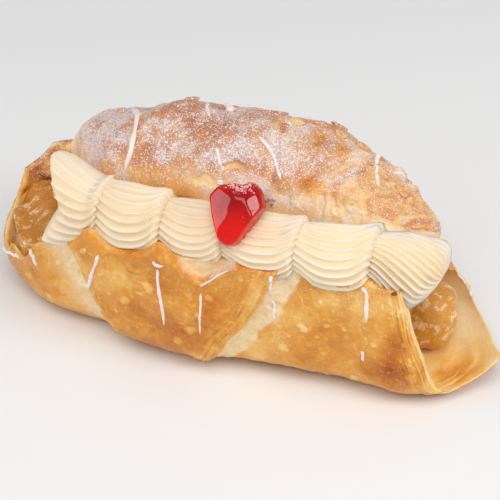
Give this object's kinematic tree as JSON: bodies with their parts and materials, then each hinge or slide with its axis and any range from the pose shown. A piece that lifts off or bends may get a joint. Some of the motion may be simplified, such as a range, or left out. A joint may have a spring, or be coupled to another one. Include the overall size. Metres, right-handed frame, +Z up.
{
  "type": "danish pastry",
  "caption": "Folded oval danish slit along its front, with piped cream, half a cherry, amber fruit filling at both ends and thin strands of icing.",
  "frame": {"origin": "under the middle of the bounding box, on the plane the pastry rests on", "axes": "+X along the pastry towards its open pointed tongue, -Y out of the slit with the cream, +Z up"},
  "size_m": [0.173, 0.0704, 0.0726],
  "materials": {
    "pastry": "baked laminated dough with a thin egg glaze and a dusting of sugar",
    "fruit_filling": "wet amber fruit in syrup",
    "piped_cream": "soft whipped cream",
    "cherry": "wet glazed cherry"
  },
  "bodies": {
    "root": {"pastry": "pastry", "fruit_filling": "fruit_filling", "piped_cream": "piped_cream", "cherry": "cherry"}
  },
  "joints": []
}
